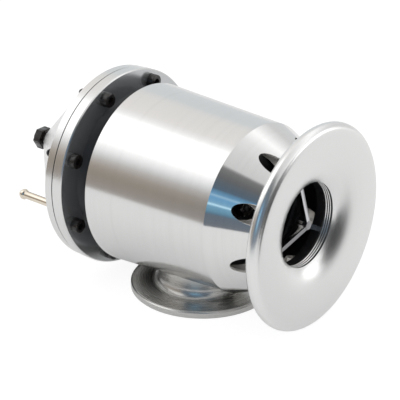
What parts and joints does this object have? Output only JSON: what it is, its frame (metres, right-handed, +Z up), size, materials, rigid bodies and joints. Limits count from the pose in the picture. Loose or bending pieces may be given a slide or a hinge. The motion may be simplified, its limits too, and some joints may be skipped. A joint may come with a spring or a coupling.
{
  "type": "blow off valve",
  "caption": "Pull-type diaphragm blow off valve: polished barrel with windowed nose, flared horn, round inlet flange, coned vacuum cover with screw adjuster.",
  "frame": {"origin": "centre of the round inlet flange's bottom face", "axes": "+Z up out of the pipe that the flange sits on; +X along the valve's own axis towards the horn; +Y to the left of that"},
  "size_m": [0.1378, 0.0774, 0.0781],
  "materials": {
    "body_aluminium": "turned and polished",
    "ring_aluminium": "polished",
    "cover_aluminium": "polished",
    "horn_aluminium": "satin",
    "guide_aluminium": "polished",
    "seat_steel": "turned",
    "spring_steel": "bright",
    "valve_aluminium": "black anodised",
    "stem_steel": "ground",
    "nut_steel": "zinc plated",
    "plate_aluminium": "turned",
    "bush_bronze": "plain",
    "seal_rubber": "matte",
    "diaphragm_rubber": "matte",
    "black_steel": "black oxide",
    "nipple_brass": "nickel plated"
  },
  "bodies": {
    "housing": {"main_body": "body_aluminium", "flange_o_ring": "seal_rubber", "rear_ring": "ring_aluminium", "rear_cover": "cover_aluminium", "vacuum_nipple": "nipple_brass", "horn": "horn_aluminium", "throat_guide": "guide_aluminium", "valve_seat": "seat_steel", "seat_o_ring": "seal_rubber", "seat_circlip": "spring_steel", "stem_bush": "bush_bronze", "stem_seal": "seal_rubber", "diaphragm": "diaphragm_rubber", "adjuster_o_ring": "seal_rubber", "main_spring": "spring_steel", "cover_screw_1": "black_steel", "cover_screw_2": "black_steel", "cover_screw_3": "black_steel", "cover_screw_4": "black_steel", "cover_screw_5": "black_steel", "cover_screw_6": "black_steel", "cover_screw_7": "black_steel", "cover_screw_8": "black_steel"},
    "stem": {"valve_stem": "stem_steel", "front_plate": "plate_aluminium", "rear_plate": "plate_aluminium", "stem_washer": "nut_steel", "stem_nut": "nut_steel", "primary_valve": "valve_aluminium", "primary_seal": "seal_rubber", "pick_up_nut": "nut_steel"},
    "main_valve": {"main_valve": "valve_aluminium", "main_seal": "seal_rubber"},
    "spring_seat": {"spring_seat": "plate_aluminium", "return_spring": "spring_steel"},
    "adjuster": {"adjuster_bolt": "black_steel"}
  },
  "joints": [
    {"name": "stem_slide", "type": "slide", "parent": "housing", "child": "stem", "axis": [-1, 0, 0], "range_m": [0, 0.0062], "stiffness_N_per_m": 1500, "springref_m": -0.008, "deforming": ["diaphragm", "return_spring"]},
    {"name": "main_valve_slide", "type": "slide", "parent": "housing", "child": "main_valve", "axis": [-1, 0, 0], "range_m": [0, 0.004], "deforming": ["main_spring"]},
    {"name": "preload_slide", "type": "slide", "parent": "housing", "child": "spring_seat", "axis": [1, 0, 0], "range_m": [0, 0.0032]},
    {"name": "adjuster_turn", "type": "hinge", "parent": "spring_seat", "child": "adjuster", "pos_m": [-0.08, 0, 0.0394], "axis": [1, 0, 0], "range_deg": [0, 1440]}
  ],
  "couplings": [
    {"joint": "main_valve_slide", "follows": "stem_slide", "ratio": 0.645},
    {"joint": "adjuster_turn", "follows": "preload_slide", "rad_per_m": 7853.9}
  ]
}
